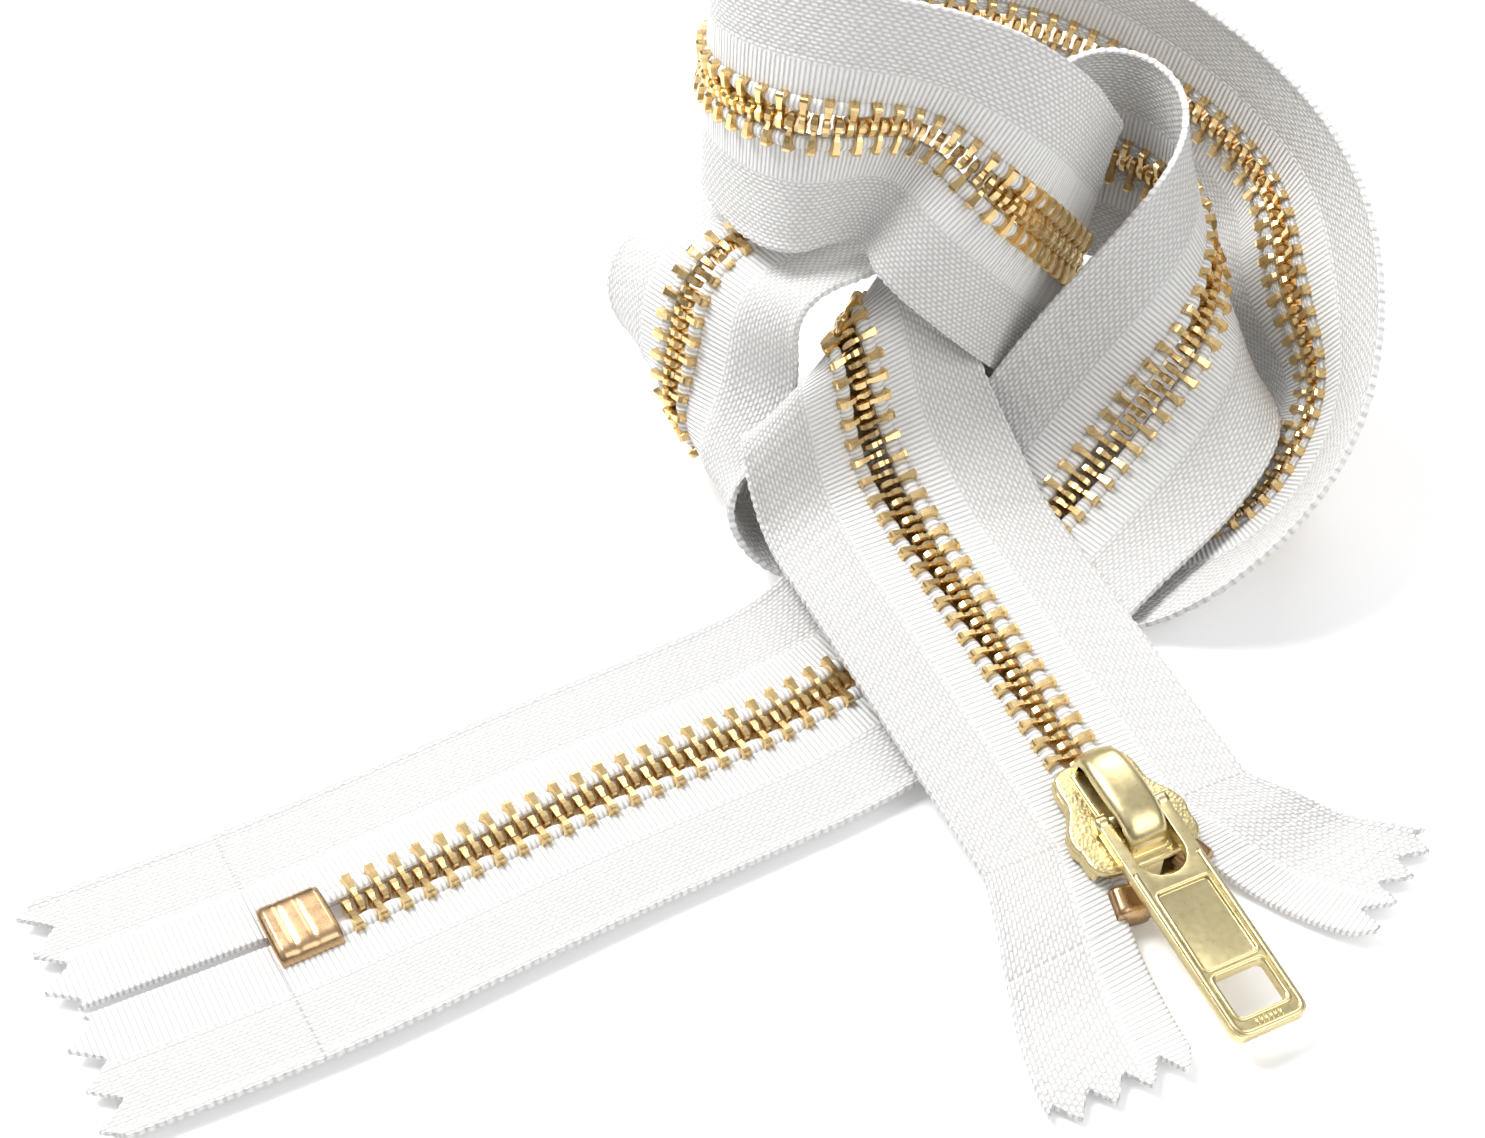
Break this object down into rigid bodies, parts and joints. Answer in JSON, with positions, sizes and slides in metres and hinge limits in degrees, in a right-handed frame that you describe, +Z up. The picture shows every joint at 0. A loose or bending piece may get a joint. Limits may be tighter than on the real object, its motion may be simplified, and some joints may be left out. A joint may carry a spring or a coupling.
{
  "type": "metal zipper",
  "caption": "Closed-end metal zipper lying in a loose coil, with woven tape, interlocked teeth, stops, auto-lock slider and long pull tab.",
  "frame": {"origin": "middle of the bottom of the bounding box, on the floor under the coil", "axes": "+Z up from the floor, +X to the right along the floor, +Y away from the front; the tail points to -X -Y and the top ends to +X -Y"},
  "size_m": [0.133, 0.1284, 0.0578],
  "materials": {
    "tape_white": "woven polyester, matt",
    "teeth_brass": "polished golden brass",
    "slider_brass": "satin pale brass",
    "stop_bronze": "coppery bronze, satin",
    "spring_steel": "bright steel"
  },
  "bodies": {
    "zipper": {"tape_left": "tape_white", "tape_right": "tape_white", "teeth_coil_left": "teeth_brass", "teeth_coil_right": "teeth_brass", "teeth_front_left": "teeth_brass", "teeth_front_right": "teeth_brass", "teeth_run_left": "teeth_brass", "teeth_run_right": "teeth_brass", "bottom_stop": "stop_bronze", "tape_top_left": "tape_white", "tape_top_right": "tape_white", "teeth_top_left": "teeth_brass", "teeth_top_right": "teeth_brass", "top_stop_left": "stop_bronze", "top_stop_right": "stop_bronze"},
    "tail_left": {"tail_left": "tape_white"},
    "tail_right": {"tail_right": "tape_white"},
    "end_left": {"tape_end_left": "tape_white"},
    "end_right": {"tape_end_right": "tape_white"},
    "slider": {"slider_body": "slider_brass", "slider_crown": "slider_brass", "lock_spring": "spring_steel"},
    "lock": {"lock_pin": "spring_steel"},
    "pull": {"pull_tab": "slider_brass"}
  },
  "joints": [
    {"name": "top_end_left_lift", "type": "hinge", "parent": "zipper", "child": "end_left", "pos_m": [0.03029, -0.04471, 0.00138], "axis": [-0.8597, -0.5107, 0], "range_deg": [0, 35]},
    {"name": "top_end_right_lift", "type": "hinge", "parent": "zipper", "child": "end_right", "pos_m": [0.05085, -0.03075, 0.00154], "axis": [-0.8064, -0.5914, 0], "range_deg": [0, 35]},
    {"name": "tail_left_lift", "type": "hinge", "parent": "zipper", "child": "tail_left", "pos_m": [-0.0435, -0.04347, 0.00124], "axis": [-0.4634, 0.8862, 0.003], "range_deg": [0, 35]},
    {"name": "tail_right_lift", "type": "hinge", "parent": "zipper", "child": "tail_right", "pos_m": [-0.0435, -0.04347, 0.00124], "axis": [-0.4634, 0.8862, 0.003], "range_deg": [0, 35]},
    {"name": "slider_slide", "type": "slide", "parent": "zipper", "child": "slider", "axis": [-0.4423, 0.8928, 0.0849], "range_m": [0, 0.014], "deforming": ["teeth_run_left", "teeth_run_right"]},
    {"name": "pull_swing", "type": "hinge", "parent": "slider", "child": "pull", "pos_m": [0.037, -0.03207, 0.00644], "axis": [-0.896, -0.444, 0.0002], "range_deg": [0, 120]},
    {"name": "lock_lift", "type": "hinge", "parent": "slider", "child": "lock", "pos_m": [0.03454, -0.02711, 0.00621], "axis": [-0.896, -0.444, 0.0002], "range_deg": [0, 6]}
  ],
  "couplings": [
    {"joint": "lock_lift", "follows": "pull_swing", "ratio": 0.05}
  ]
}
